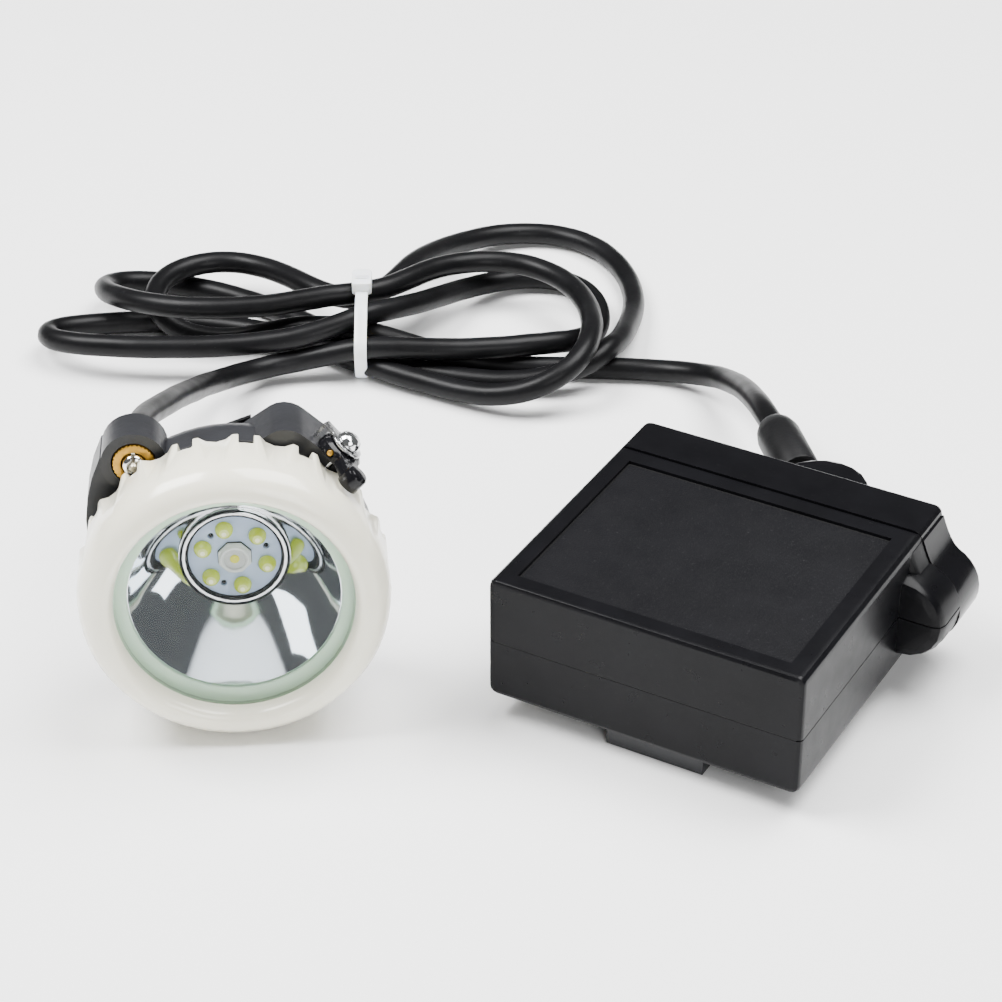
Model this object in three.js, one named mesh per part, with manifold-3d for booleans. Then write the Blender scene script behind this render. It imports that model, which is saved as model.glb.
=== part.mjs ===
// Miner's cap lamp: a headpiece with a screwed luminous bezel, a flat belt battery, and the rubber
// cord between them, tied up in a hank.  Millimetres, +Z up, floor at z = 0.
import * as THREE from "three";
import { mergeVertices } from "three/addons/utils/BufferGeometryUtils.js";
import Module from "manifold-3d";

const wasm = await Module();
wasm.setup();

// ---- driving dimensions -------------------------------------------------------------------
const ORIGIN = [-0.385, 28.53]; // row origin in the battery's own frame (centre of the outline)
const GAP = 0.3; // running and resting gap between neighbours

// battery: x across its width, y along its length, z up from the floor
const CASE_W = 82.0;
const CASE_L = 81.9;
const CASE_H = 33.4;
const CASE_Z = 6.4; // underside of the case above the floor, the belt strap stands below it
const CASE_R = 3.0; // edge rounding of the case
const WALL = 2.4;
const SEAM_Z = 15.7; // joint of the two half shells above the case underside
const CAP_Y = 68.0; // front edge of the end cap
const PANEL = [5.5, 4.6, 76.4, 62.2]; // recessed top panel: x0 y0 x1 y1
const PANEL_DEPTH = 0.9;
const LOBE_R = 11.0; // charging lobe on the right side
const LOBE_Y = 56.2;
const LOBE_Z = 15.0;
const NOSE = [37.5, 61.5, 12.5, 29.5, 12.5]; // cable nose on the cap: x0 x1 z0 z1 projection
const BOOT_AT = [37.6, 94.6, 22.0]; // start of the cable boot, battery frame
const BOOT_DIR = [-0.66, 0.751, 0.0];
const BOOT_LEN = 23.6;
const BOOT_R = 5.8;
const CELL_R = 9.2;
const CELL_L = 65.0;
const STRAP = [30.4, 56.0, 3.7, 66.5]; // belt strap: x0 x1 y0 y1
const STRAP_T = 2.0;

// headpiece: its own frame has z along the lamp axis to the front, x to the wearer's left as the
// lamp is looked at from the front (right of the view), y up; z = 0 is the plane of the opening
const HEAD_AT = [-47.91, -35.58, 37.76];
const HEAD_AXIS = [0.5529, -0.8314, 0.0549];
const OPEN_R = 28.3;
const BEZEL_R = 36.9;
const BEZEL_REAR = 16.0;
const BEZEL_FLUTES = 16;
const HOUSING_R = 33.9;
const HOUSING_REAR = 33.0;
const RIM_R = 25.0; // reflector
const RIM_D = 3.7;
const NECK_R = 13.3;
const NECK_D = 21.2;
const FOUR_F = 26.0;
const BOARD_R = 11.2;
const BOARD_D = 21.9;
const AUX_R = 2.2;
const AUX_PITCH_R = 8.0;
const AUX_ANGLES = [-16, 45, 106, 161, 222, 281];
const LOCK_AT = [-22.2, 28.4]; // charging lock boss
const LOCK_R = 7.8;
const LOCK_FRONT = 18.5;
const SWITCH_ANGLE = 43; // axis of the switch, degrees clockwise from the top
const SWITCH_T = -1.0;
const SWITCH_D = 18.5;
const SWITCH_FACE = 37.5;
const GLAND_AT = [-22.0, 20.6];

// cord
const CORD_D = 6.4;
const HEAD_TAIL = [
  [-97.1, 2.5, 55.0],
  [-104.9, 21.5, 46.0],
  [-120.6, 56.5, 27.0],
  [-131.0, 85.3, 12.0],
  [-133.8, 103.2, 4.4],
];
const BATTERY_TAIL = [
  [17.7, 117.3, 27.5],
  [5.8, 133.2, 22.0],
  [-9.4, 151.5, 12.0],
  [-22.1, 160.6, 5.0],
  [-30.2, 161.5, 3.6],
];
const TIE_AT = [-109.85, 120.75]; // front strand of the bundle where the tie holds it
const TIE_ALONG = [0.8723, 0.4889]; // run of the bundle
const STRANDS = [[0.2, 4.75], [8.1, 4.75], [-2.1, 10.6], [8, 10.7], [6.0, 16.5], [15.4, 18.8], [21.5, 13.6]]; // across, up
const HANK_H = 14.0; // height of the loops

// ---- helpers ------------------------------------------------------------------------------
// three.js geometry -> closed solid, whichever way its faces were wound
function solid(geometry) {
  const g = geometry.clone();
  for (const key of Object.keys(g.attributes))
    if (key !== "position") g.deleteAttribute(key);
  const m = mergeVertices(g, 1e-4);
  const src = m.index.array;
  const tri = [];
  for (let i = 0; i < src.length; i += 3) {
    const [a, b, c] = [src[i], src[i + 1], src[i + 2]];
    if (a !== b && b !== c && c !== a) tri.push(a, b, c);
  }
  const build = (t) =>
    new wasm.Manifold(
      new wasm.Mesh({
        numProp: 3,
        vertProperties: new Float32Array(m.attributes.position.array),
        triVerts: new Uint32Array(t),
      }),
    );
  const made = build(tri);
  if (made.volume() >= 0) return made;
  const flipped = [];
  for (let i = 0; i < tri.length; i += 3)
    flipped.push(tri[i], tri[i + 2], tri[i + 1]);
  return build(flipped);
}
// profile of [radius, z] pairs turned about z; one that leaves the axis is closed on itself
function turned(profile, seg = 48) {
  const pts = profile.map(([r, z]) => new THREE.Vector2(r, z));
  const onAxis = profile[0][0] < 1e-9 && profile.at(-1)[0] < 1e-9;
  if (!onAxis) pts.push(pts[0].clone());
  const g = new THREE.LatheGeometry(pts, seg);
  g.rotateX(Math.PI / 2);
  return solid(g);
}
const disc = (r, z0, z1, seg = 32) =>
  turned([[0, z0], [r, z0], [r, z1], [0, z1]], seg);
const ring = (r0, r1, z0, z1, seg = 32) =>
  turned([[r0, z0], [r1, z0], [r1, z1], [r0, z1]], seg);
function box(x0, y0, z0, x1, y1, z1) {
  const g = new THREE.BoxGeometry(x1 - x0, y1 - y0, z1 - z0);
  g.translate((x0 + x1) / 2, (y0 + y1) / 2, (z0 + z1) / 2);
  return solid(g);
}
// outline in the xy plane, extruded from z0 to z1
function prism(outline, z0, z1) {
  const shape = new THREE.Shape(outline.map(([x, y]) => new THREE.Vector2(x, y)));
  const g = new THREE.ExtrudeGeometry(shape, { depth: z1 - z0, bevelEnabled: false });
  g.translate(0, 0, z0);
  return solid(g);
}
// the same with bevelled edges of size b on the outside
function softPrism(outline, z0, z1, b, steps = 2) {
  const shape = new THREE.Shape(outline.map(([x, y]) => new THREE.Vector2(x, y)));
  const g = new THREE.ExtrudeGeometry(shape, {
    depth: z1 - z0 - 2 * b,
    bevelEnabled: true,
    bevelThickness: b,
    bevelSize: b,
    bevelOffset: -b,
    bevelSegments: steps,
  });
  g.translate(0, 0, z0 + b);
  return solid(g);
}
function roundRect(x0, y0, x1, y1, r, n = 3) {
  const out = [];
  for (const [cx, cy, a0] of [
    [x1 - r, y1 - r, 0],
    [x0 + r, y1 - r, 90],
    [x0 + r, y0 + r, 180],
    [x1 - r, y0 + r, 270],
  ])
    for (let i = 0; i <= n; i++) {
      const a = ((a0 + (90 * i) / n) * Math.PI) / 180;
      out.push([cx + r * Math.cos(a), cy + r * Math.sin(a)]);
    }
  return out;
}
// round rod along a smooth route
function rod(points, r, steps, sides = 10) {
  const curve = new THREE.CatmullRomCurve3(
    points.map((p) => new THREE.Vector3(...p)),
    false,
    "centripetal",
  );
  const shape = new THREE.Shape();
  for (let i = 0; i < sides; i++) {
    const a = (2 * Math.PI * i) / sides;
    if (i) shape.lineTo(r * Math.cos(a), r * Math.sin(a));
    else shape.moveTo(r, 0);
  }
  return solid(
    new THREE.ExtrudeGeometry(shape, { steps, extrudePath: curve, bevelEnabled: false }),
  );
}
// put a solid built about z onto a frame with the given z axis
function placed(m, at, zAxis, xHint = [0, 0, 1]) {
  const z = new THREE.Vector3(...zAxis).normalize();
  const x = new THREE.Vector3(...xHint).addScaledVector(z, -z.dot(new THREE.Vector3(...xHint))).normalize();
  const y = new THREE.Vector3().crossVectors(z, x);
  const e = new THREE.Matrix4().makeBasis(x, y, z).setPosition(...at);
  return m.transform(e.elements);
}
const union = (...list) => list.reduce((a, b) => a.add(b));
const rad = (deg) => (deg * Math.PI) / 180;

const lamp = new THREE.Group();
lamp.name = "cap_lamp";
const headpiece = new THREE.Group();
headpiece.name = "headpiece";
const battery = new THREE.Group();
battery.name = "battery";
const cordset = new THREE.Group();
cordset.name = "cordset";

function piece(group, name, m, color, roughness, metalness = 0, extra = {}) {
  const mesh = m.getMesh();
  const n = mesh.numProp;
  const v = new Float32Array(mesh.numVert * 3);
  for (let i = 0; i < mesh.numVert; i++)
    v.set(mesh.vertProperties.subarray(i * n, i * n + 3), i * 3);
  let g = new THREE.BufferGeometry()
    .setAttribute("position", new THREE.BufferAttribute(v, 3))
    .setIndex(new THREE.BufferAttribute(new Uint32Array(mesh.triVerts), 1));
  g = g.toNonIndexed();
  g.computeVertexNormals();
  const o = new THREE.Mesh(
    g,
    new THREE.MeshStandardMaterial({ color, roughness, metalness, ...extra }),
  );
  o.name = name;
  group.add(o);
  return o;
}

// ==== headpiece ============================================================================
{
  const g = headpiece;
  // bezel: crested front lip, lens pocket, bore over the housing neck
  const fillet = [];
  for (let i = 0; i <= 4; i++) {
    const a = rad(22.5 * i);
    fillet.push([30.9 + 6 * Math.cos(a), -(4 - 8 * Math.sin(a))]);
  }
  let bezel = turned(
    [
      [33.3, -BEZEL_REAR],
      [BEZEL_R, -BEZEL_REAR],
      ...fillet,
      [29.5, 3.3],
      [28.7, 2.0],
      [OPEN_R, 0],
      [OPEN_R, -0.5],
      [30.3, -0.5],
      [30.3, -3.4],
      [33.3, -3.4],
    ],
    64,
  );
  for (let i = 0; i < BEZEL_FLUTES; i++) {
    const a = 90 - 6.9 - (360 / BEZEL_FLUTES) * i;
    const slot = box(33.0, -1.75, -BEZEL_REAR - 1, 38.5, 1.75, -12.0).rotate(0, 0, a);
    const flute = placed(
      disc(6.0, -14, 16, 16),
      [BEZEL_R + 4.4, 0, -13.5],
      [0.12, 0, 1],
    ).rotate(0, 0, a - 180 / BEZEL_FLUTES);
    bezel = bezel.subtract(slot).subtract(flute);
  }
  piece(g, "bezel", bezel, 0xebeae1, 0.45);

  piece(
    g,
    "lens",
    turned([
      [0, -2.3],
      [29.9, -2.3],
      [29.9, -0.9],
      [27.9, -0.9],
      [27.9, -0.2],
      [0, -0.2],
    ], 40),
    0xffffff, 0.03, 0, { transparent: true, opacity: 0.18 },
  );
  piece(g, "lens_gasket", ring(25.3, 29.9, -3.4, -2.6, 40), 0xcfe3cf, 0.5);

  // reflector: paraboloid shell with a clamping flange
  const bowl = [];
  const depth = (r) => RIM_D + (RIM_R * RIM_R - r * r) / FOUR_F;
  for (let i = 0; i <= 6; i++) {
    const r = RIM_R + ((NECK_R - RIM_R) * i) / 6;
    bowl.push([r, -depth(r)]);
  }
  const back = bowl.map(([r, z]) => [r + 1.1, z - 0.7]).reverse();
  back.pop();
  piece(
    g,
    "reflector",
    turned([
      [32.7, -RIM_D],
      ...bowl,
      ...back,
      [27.2, -4.9],
      [32.7, -4.9],
    ], 44),
    0xdfe3e6, 0.08, 1,
  );
  piece(
    g,
    "led_ring",
    turned([
      [11.5, -23.2],
      [13.0, -23.2],
      [13.0, -21.5],
      [12.6, -20.9],
      [11.9, -20.9],
      [11.5, -21.5],
    ], 32),
    0xe0e4e8, 0.1, 1,
  );
  let board = disc(BOARD_R, -BOARD_D - 1.4, -BOARD_D, 32);
  const screwAt = [18, 133, 248].map((a) => [8 * Math.cos(rad(a)), 8 * Math.sin(rad(a))]);
  screwAt.forEach(([x, y]) => {
    board = board.subtract(disc(0.8, -BOARD_D - 2, -BOARD_D + 1, 12).translate([x, y, 0]));
  });
  piece(g, "led_board", board, 0xbfcbdc, 0.5);
  piece(
    g,
    "main_led",
    turned([
      [0, -BOARD_D + GAP],
      [4.2, -BOARD_D + GAP],
      [4.2, -BOARD_D + 1.2],
      [3.7, -BOARD_D + 2.4],
      [2.3, -BOARD_D + 3.4],
      [0, -BOARD_D + 3.8],
    ], 28),
    0xf0f0a0, 0.15,
  );
  AUX_ANGLES.forEach((deg, i) => {
    const [x, y] = [AUX_PITCH_R * Math.cos(rad(deg)), AUX_PITCH_R * Math.sin(rad(deg))];
    piece(
      g,
      "aux_led_" + (i + 1),
      turned([
        [0, -BOARD_D + GAP],
        [AUX_R, -BOARD_D + GAP],
        [AUX_R, -BOARD_D + 1.2],
        [1.6, -BOARD_D + 2.4],
        [0, -BOARD_D + 2.9],
      ], 16).translate([x, y, 0]),
      0xdfe27a, 0.25,
    );
  });
  screwAt.forEach(([x, y], i) =>
    piece(
      g,
      "board_screw_" + (i + 1),
      disc(0.5, -BOARD_D - 1.5, -BOARD_D - 0.2, 10).translate([x, y, 0]),
      0x3a3a3c, 0.4, 1,
    ),
  );
  // heat sink cup behind the board, seated on the driver stack
  piece(
    g,
    "heat_sink",
    turned([
      [0, -BOARD_D - 4.6],
      [18.0, -BOARD_D - 4.6],
      [18.0, -BOARD_D - 3.0],
      [12.9, -BOARD_D - 1.8],
      [0, -BOARD_D - 1.8],
    ], 36),
    0xaeb2b6, 0.45, 1,
  );
  piece(
    g,
    "driver_board",
    disc(17.5, -29.6, -28.2, 24),
    0x1f6b3a, 0.6,
  );

  // housing: cup with a neck for the bezel, lock boss, cord lobe and switch block
  const m = [Math.sin(rad(SWITCH_ANGLE)), Math.cos(rad(SWITCH_ANGLE))]; // outward
  const t = [m[1], -m[0]]; // along the block face, to the right
  const st = (s, tt, d) => [m[0] * s + t[0] * tt, m[1] * s + t[1] * tt, -d];
  let housing = turned([
    [0, -HOUSING_REAR],
    [26.0, -HOUSING_REAR],
    [29.2, -HOUSING_REAR + 0.9],
    [31.6, -HOUSING_REAR + 2.8],
    [33.2, -HOUSING_REAR + 5.2],
    [HOUSING_R, -HOUSING_REAR + 8.0],
    [HOUSING_R, -17.2],
    [32.9, -16.6],
    [32.9, -5.3],
    [0, -5.3],
  ], 60);
  const blockOutline = [
    [12, -21.8],
    [28.9, -18.0],
    [32.8, -17.1],
    [34.5, -16.4],
    [35.9, -15.2],
    [36.9, -13.6],
    [37.4, -11.9],
    [SWITCH_FACE, -10.3],
    [SWITCH_FACE, 5.0],
    [12, 9.0],
  ].map(([s, tt]) => [m[0] * s + t[0] * tt, m[1] * s + t[1] * tt]);
  housing = union(
    housing,
    prism(blockOutline.reverse(), -31.0, -17.0),
    disc(LOCK_R, -29.0, -LOCK_FRONT, 28).translate([...LOCK_AT, 0]),
    prism(
      [
        [-10, 0], [-10, 22], [-20, 31], [-25.5, 31.6], [-30.2, 29.4], [-32.4, 24.0],
        [-33.8, 18.5], [-34.5, 13.0], [-34.4, 7.0], [-33.4, 0],
      ].reverse(),
      -31.0,
      -20.0,
    ),
  );
  housing = housing
    .subtract(turned([[0, -30.4], [24, -30.4], [30.3, -26], [30.3, -4], [0, -4]], 48))
    .subtract(disc(5.4, -27.0, -10, 28).translate([...LOCK_AT, 0]))
    .subtract(disc(4.1, -36, -20, 20).translate([...GLAND_AT, 0]))
    // flat seat for the cord gland
    .subtract(disc(7.2, -36, -30.6, 24).translate([...GLAND_AT, 0]))
    .subtract(placed(disc(1.6, 20, 45, 16), st(0, SWITCH_T, SWITCH_D), [m[0], m[1], 0]))
    .subtract(disc(1.45, -36, -25, 12).translate([0, 12, 0]))
    .subtract(disc(1.45, -36, -25, 12).translate([0, -12, 0]));
  piece(g, "housing", housing, 0x2c2d2f, 0.45);
  piece(
    g,
    "housing_oring",
    turned([
      [33.6, -16.9],
      [34.6, -16.9],
      [34.8, -16.6],
      [34.6, -16.3],
      [33.6, -16.3],
    ], 36),
    0x141414, 0.7,
  );

  // charging lock: knurled brass ring, turning rotor with a slotted face, fixed contact pin
  const teeth = [];
  const KN = 30;
  for (let i = 0; i < KN; i++) {
    const a = (360 * i) / KN;
    teeth.push([5.05 * Math.cos(rad(a)), 5.05 * Math.sin(rad(a))]);
    teeth.push([4.75 * Math.cos(rad(a + 180 / KN)), 4.75 * Math.sin(rad(a + 180 / KN))]);
  }
  piece(
    g,
    "lock_ring",
    prism(teeth, -24.5, -LOCK_FRONT + 0.4)
      .subtract(disc(3.1, -30, -10, 24))
      .translate([...LOCK_AT, 0]),
    0xc9a24a, 0.3, 1,
  );
  piece(
    g,
    "lock_rotor",
    disc(2.8, -24.0, -LOCK_FRONT + 1.0, 24)
      .subtract(box(-0.5, 0.9, -20.2, 0.5, 4, -10))
      .subtract(disc(1.15, -30, -10, 16))
      .translate([...LOCK_AT, 0]),
    0xb9bcc0, 0.25, 1,
  );
  piece(
    g,
    "charge_pin",
    union(disc(0.8, -25.0, -LOCK_FRONT + 1.6, 14), disc(3.6, -26.6, -24.9, 20)).translate([
      ...LOCK_AT,
      0,
    ]),
    0xc8a458, 0.3, 1,
  );

  // switch: shaft through the block, lever, clip, dome screw
  const sw = (mm, s = 0) => placed(mm, st(s, SWITCH_T, SWITCH_D), [m[0], m[1], 0], [0, 0, 1]);
  // in this frame z is outward, x is forward along the lamp axis, y completes it
  piece(
    g,
    "switch_shaft",
    sw(union(disc(1.25, 27.0, 41.0, 16), disc(3.2, 25.6, 27.0, 16))),
    0xa9acb0, 0.35, 1,
  );
  const armDeg = 15; // about the switch axis, from straight ahead
  const arm = union(
    prism(roundRect(0, -2.5, 11.2, 2.5, 0.4, 1), 38.2, 41.0),
    turned([[0, 37.9], [2.7, 37.9], [2.7, 41.6], [2.2, 42.3], [0, 42.5]], 18).translate([11.2, 0, 0]),
  ).rotate(0, 0, armDeg);
  piece(
    g,
    "switch_lever",
    sw(
      union(turned([[0, 37.8], [5.4, 37.8], [5.4, 40.3], [4.6, 41.0], [0, 41.0]], 24), arm)
        .subtract(disc(1.55, 30, 50, 16))
        .subtract(placed(disc(1.0, 0, 4, 12), [3.2, 0, 39.3], [1, 0, 0]).rotate(0, 0, armDeg - 51)),
    ),
    0x1f2022, 0.35,
  );
  piece(
    g,
    "lever_set_screw",
    sw(
      placed(disc(0.7, 0.4, 2.6, 12), [3.2, 0, 39.3], [1, 0, 0]).rotate(0, 0, armDeg - 51),
    ),
    0xc8a458, 0.3, 1,
  );
  piece(
    g,
    "switch_clip",
    sw(
      union(
        disc(4.2, 41.4, 42.0, 24),
        box(-1.7, -7.2, 41.4, 1.7, -3.0, 42.0).rotate(0, 0, -28),
        box(-1.7, -7.2, 37.8, 1.7, -6.5, 41.9).rotate(0, 0, -28),
      ).subtract(disc(1.6, 30, 50, 16)),
    ),
    0xc9ccd0, 0.2, 1,
  );
  piece(
    g,
    "switch_screw",
    sw(
      union(
        turned([[0, 42.3], [3.0, 42.3], [3.0, 42.9], [2.5, 43.9], [1.4, 44.6], [0, 44.8]], 20),
        disc(1.2, 41.3, 42.4, 12),
      ).subtract(box(-0.4, -3.5, 43.9, 0.4, 3.5, 46)),
    ),
    0xd6d8da, 0.15, 1,
  );
  piece(
    g,
    "switch_contact",
    sw(box(-5.5, -1.6, 24.7, 5.5, 1.6, 25.3)),
    0xb4713c, 0.35, 1,
  );

  // helmet hook on the back: plate, standing blade and tip
  piece(
    g,
    "helmet_hook",
    union(
      box(-7.5, -17, -34.6, 7.5, 17, -33.3),
      box(-6, -17, -42.3, 5.2, -15.7, -33.4),
      prism([[-6, -17], [5.2, -17], [5.2, 27.4], [-6, 23.4]], -42.4, -41.1),
    )
      .subtract(disc(1.45, -36, -30, 12).translate([0, 12, 0]))
      .subtract(disc(1.45, -36, -30, 12).translate([0, -12, 0])),
    0x8f9296, 0.35, 1,
  );
  [12, -12].forEach((y, i) =>
    piece(
      g,
      "hook_screw_" + (i + 1),
      union(disc(1.1, -35.0, -31.0, 12), disc(2.6, -36.4, -34.9, 16)).translate([0, y, 0]),
      0xc4c6c8, 0.25, 1,
    ),
  );
  piece(
    g,
    "cable_gland",
    turned([
      [3.5, -42.0],
      [4.4, -42.0],
      [5.6, -35.0],
      [6.6, -34.4],
      [6.6, -30.9],
      [3.8, -30.9],
      [3.8, -28.6],
      [3.5, -28.6],
    ], 24).translate([...GLAND_AT, 0]),
    0x1b1b1c, 0.6,
  );

  const n = new THREE.Vector3(...HEAD_AXIS).normalize();
  const ax = new THREE.Vector3(0, 0, 1).cross(n).normalize();
  const up = new THREE.Vector3().crossVectors(n, ax);
  headpiece.matrixAutoUpdate = false;
  headpiece.matrix.makeBasis(ax, up, n).setPosition(...HEAD_AT);
}

// ==== battery ==============================================================================
{
  const g = battery;
  g.position.set(0, 0, CASE_Z);
  const outer = (y0, y1) =>
    // rounded cross-section in x and z, running along y, with softened front corners
    softPrism(roundRect(0, 0, CASE_W, CASE_H, 2.2, 3), 0, y1 - y0, 1.2, 2)
      .rotate(90, 0, 0)
      .translate([0, y1, 0]);
  const body = outer(0, CASE_L);
  // side lobe: half round bar with a blend up to the top edge of the cap
  const lobe = [];
  for (let i = 0; i <= 10; i++) {
    const a = rad(-90 + 18 * i);
    lobe.push([CASE_W + 0.4 + LOBE_R * Math.cos(a), LOBE_Z + LOBE_R * Math.sin(a)]);
  }
  const frontLobe = [...lobe, [76, LOBE_Z + LOBE_R], [76, LOBE_Z - LOBE_R]];
  const capLobe = [];
  for (let i = 0; i <= 12; i++) {
    const a = rad(-90 + 12 * i);
    capLobe.push([CASE_W + 0.4 + LOBE_R * Math.cos(a), LOBE_Z - 1.5 + (LOBE_R - 0.5) * Math.sin(a)]);
  }
  capLobe.push(
    [87.2, 22.9], [86.0, 24.0], [84.9, 25.6], [84.0, 27.4], [83.2, 29.3], [82.5, 31.2],
    [79, 31.4], [76, LOBE_Z - LOBE_R - 1],
  );
  const neckLobe = capLobe.map(([x, z], i) => (i < 19 ? [x - 0.35, z] : [x, z]));
  const along = (outline, y0, y1, b = 1.0) =>
    softPrism(outline, 0, y1 - y0, b, 2).rotate(90, 0, 0).translate([0, y1, 0]);
  const lobeFront = union(along(frontLobe, LOBE_Y, 75, 2.6), along(neckLobe, LOBE_Y + 4.6, 75, 1.6));
  const lobeCap = along(capLobe, CAP_Y - 1, CASE_L - 0.4);

  const cavity = box(WALL, WALL, WALL, CASE_W - WALL, CASE_L - WALL, CASE_H - WALL);
  const front = box(-5, -5, -5, 120, CAP_Y - GAP, 60);
  const rear = box(-5, CAP_Y, -5, 120, 130, 60);
  const low = box(-5, -5, -5, 120, 130, SEAM_Z - GAP / 2);
  const high = box(-5, -5, SEAM_Z + GAP / 2, 120, 130, 60);
  const panel = box(PANEL[0], PANEL[1], CASE_H - PANEL_DEPTH, PANEL[2], PANEL[3], CASE_H + 2);
  const strapHoles = union(
    disc(1.5, -2, 10, 12).translate([43.2, 7.4, 0]),
    disc(1.5, -2, 10, 12).translate([43.2, 62.8, 0]),
  );
  const shell = body.add(lobeFront).intersect(front).subtract(cavity);
  piece(
    g,
    "case_upper",
    shell
      .intersect(high)
      .subtract(panel)
      // glare line of the half shell: a shallow rebate round the cap end
      .subtract(box(-1, CAP_Y - 1.5, CASE_H - 0.5, CASE_W + 1, CAP_Y + 1, CASE_H + 1)),
    0x232326, 0.38,
  );
  piece(g, "case_lower", shell.intersect(low).subtract(strapHoles), 0x232326, 0.38);

  // end cap with the cable nose
  const nose = [];
  for (let i = 0; i <= 10; i++) {
    const a = rad(18 * i);
    nose.push([
      (NOSE[0] + NOSE[1]) / 2 + ((NOSE[1] - NOSE[0]) / 2) * Math.cos(a),
      CASE_L - 0.5 + NOSE[4] * Math.sin(a),
    ]);
  }
  nose.push([NOSE[0], CASE_L - 7], [NOSE[1], CASE_L - 7]);
  let cap = union(
    body.intersect(rear),
    lobeCap.intersect(rear),
    softPrism(nose, NOSE[2], NOSE[3], 1.6, 2),
  ).subtract(cavity);
  const bootAxis = (mm, off = 0) =>
    placed(
      mm,
      BOOT_AT.map((c, i) => c + BOOT_DIR[i] * off),
      BOOT_DIR,
    );
  cap = cap
    .subtract(bootAxis(disc(4.5, -30, 6, 20)))
    .subtract(bootAxis(disc(BOOT_R + GAP, -2.0, 12, 24)))
    .subtract(disc(1.5, 60, 120, 12).rotate(-90, 0, 0).translate([10, 0, 27]))
    .subtract(disc(1.5, 60, 120, 12).rotate(-90, 0, 0).translate([72, 0, 27]));
  piece(g, "end_cap", cap, 0x232326, 0.38);
  piece(
    g,
    "cap_gasket",
    box(2.7, CAP_Y - 2.2, 2.7, CASE_W - 2.7, CAP_Y + 3, CASE_H - 2.7).subtract(
      box(3.45, 40, 3.45, CASE_W - 3.45, 90, CASE_H - 3.45),
    ),
    0x101010, 0.8,
  );
  [10, 72].forEach((x, i) =>
    piece(
      g,
      "cap_screw_" + (i + 1),
      union(
        disc(1.2, 74.5, 82.4, 12),
        disc(2.6, 82.2, 83.6, 16),
      )
        .rotate(-90, 0, 0)
        .translate([x, 0, 27]),
      0xc0c2c4, 0.3, 1,
    ),
  );

  // cells and their wiring
  for (let i = 0; i < 4; i++) {
    const x = CASE_W / 2 + (i - 1.5) * 18.7;
    piece(
      g,
      "cell_" + (i + 1),
      turned([
        [0, 0],
        [CELL_R - 0.5, 0],
        [CELL_R, 0.5],
        [CELL_R, CELL_L - 1.2],
        [CELL_R - 0.8, CELL_L - 0.4],
        [3.4, CELL_L - 0.4],
        [3.4, CELL_L + 0.6],
        [0, CELL_L + 0.6],
      ], 16)
        .rotate(-90, 0, 0)
        .translate([x, 4.2, 13.1]),
      0x2b6fb0, 0.4,
    );
  }
  piece(g, "cell_strip_front", box(8, 3.3, 9.5, 74, 3.7, 16.5), 0xb9b7b0, 0.3, 1);
  piece(g, "cell_strip_rear", box(8, 70.2, 9.5, 74, 70.6, 16.5), 0xb9b7b0, 0.3, 1);
  piece(g, "foam_pad", box(8, 10, 22.4, 74, 60, 23.6), 0x303236, 0.9);
  piece(g, "protection_board", box(12, 14, 23.9, 70, 34, 25.3), 0x1f6b3a, 0.6);

  // cable entry
  piece(
    g,
    "cable_boot",
    bootAxis(
      turned([
        [3.5, 0],
        [BOOT_R, 0],
        [BOOT_R, BOOT_LEN - 5.0],
        [5.2, BOOT_LEN - 2.2],
        [4.2, BOOT_LEN],
        [3.5, BOOT_LEN],
      ], 24),
      -1.6,
    ),
    0x19191a, 0.6,
  );
  piece(
    g,
    "cable_clamp",
    union(
      box(52, 72.5, 18.0, 70, 78.8, 20.4),
      box(54, 72.5, 20.3, 57, 78.8, 27.0),
    ),
    0xb9b7b0, 0.35, 1,
  );

  // belt strap: a stiff loop standing off the underside, open along x for the belt
  piece(
    g,
    "belt_strap",
    union(
      box(STRAP[0], STRAP[2], -CASE_Z, STRAP[1], STRAP[3], -CASE_Z + STRAP_T),
      box(STRAP[0], STRAP[2], -CASE_Z + 0.1, STRAP[1], STRAP[2] + 7.0, -GAP),
      box(STRAP[0], STRAP[3] - 7.0, -CASE_Z + 0.1, STRAP[1], STRAP[3], -GAP),
    ).subtract(
      union(
        disc(1.5, -20, 10, 12).translate([43.2, 7.4, 0]),
        disc(1.5, -20, 10, 12).translate([43.2, 62.8, 0]),
        disc(2.9, -20, -4.6, 16).translate([43.2, 7.4, 0]),
        disc(2.9, -20, -4.6, 16).translate([43.2, 62.8, 0]),
      ),
    ),
    0x1c1c1e, 0.5,
  );
  [7.4, 62.8].forEach((y, i) =>
    piece(
      g,
      "strap_screw_" + (i + 1),
      union(disc(1.2, -5.0, 3.1, 12), disc(2.5, -6.2, -4.9, 16)).translate([43.2, y, 0]),
      0xc0c2c4, 0.3, 1,
    ),
  );
}

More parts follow.
